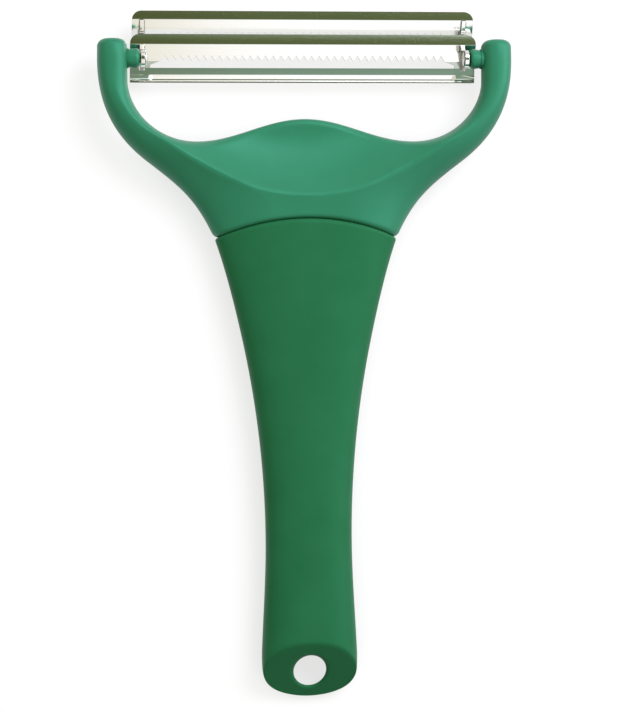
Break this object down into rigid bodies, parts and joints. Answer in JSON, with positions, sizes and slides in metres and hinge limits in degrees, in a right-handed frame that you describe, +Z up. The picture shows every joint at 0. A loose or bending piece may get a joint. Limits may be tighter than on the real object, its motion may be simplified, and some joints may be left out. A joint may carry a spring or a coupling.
{
  "type": "cabbage shredder",
  "caption": "Wide Y-shaped hand shredder with a hollow green handle, a thumb scoop, a hang hole and a swivelling steel unit of toothed blades.",
  "frame": {"origin": "on the surface that the shredder lies on, under the middle of its whole length and width", "axes": "+X across to the right arm, +Y along the handle towards the blades, +Z up to the thumb side"},
  "size_m": [0.118, 0.1956, 0.0184],
  "materials": {
    "yoke_plastic": "satin",
    "grip_plastic": "matte",
    "blade_steel": "polished"
  },
  "bodies": {
    "handle": {"yoke": "yoke_plastic", "grip": "grip_plastic", "pivot_bush_left": "yoke_plastic", "pivot_bush_right": "yoke_plastic"},
    "blade_unit": {"front_blade": "blade_steel", "rear_blade": "blade_steel", "cheek_left": "blade_steel", "cheek_right": "blade_steel", "pivot_pin_left": "blade_steel", "pivot_pin_right": "blade_steel"}
  },
  "joints": [
    {"name": "blade_swivel", "type": "hinge", "parent": "handle", "child": "blade_unit", "pos_m": [0, 0.08386, 0.0125], "axis": [1, 0, 0], "range_deg": [-30, 30]}
  ]
}
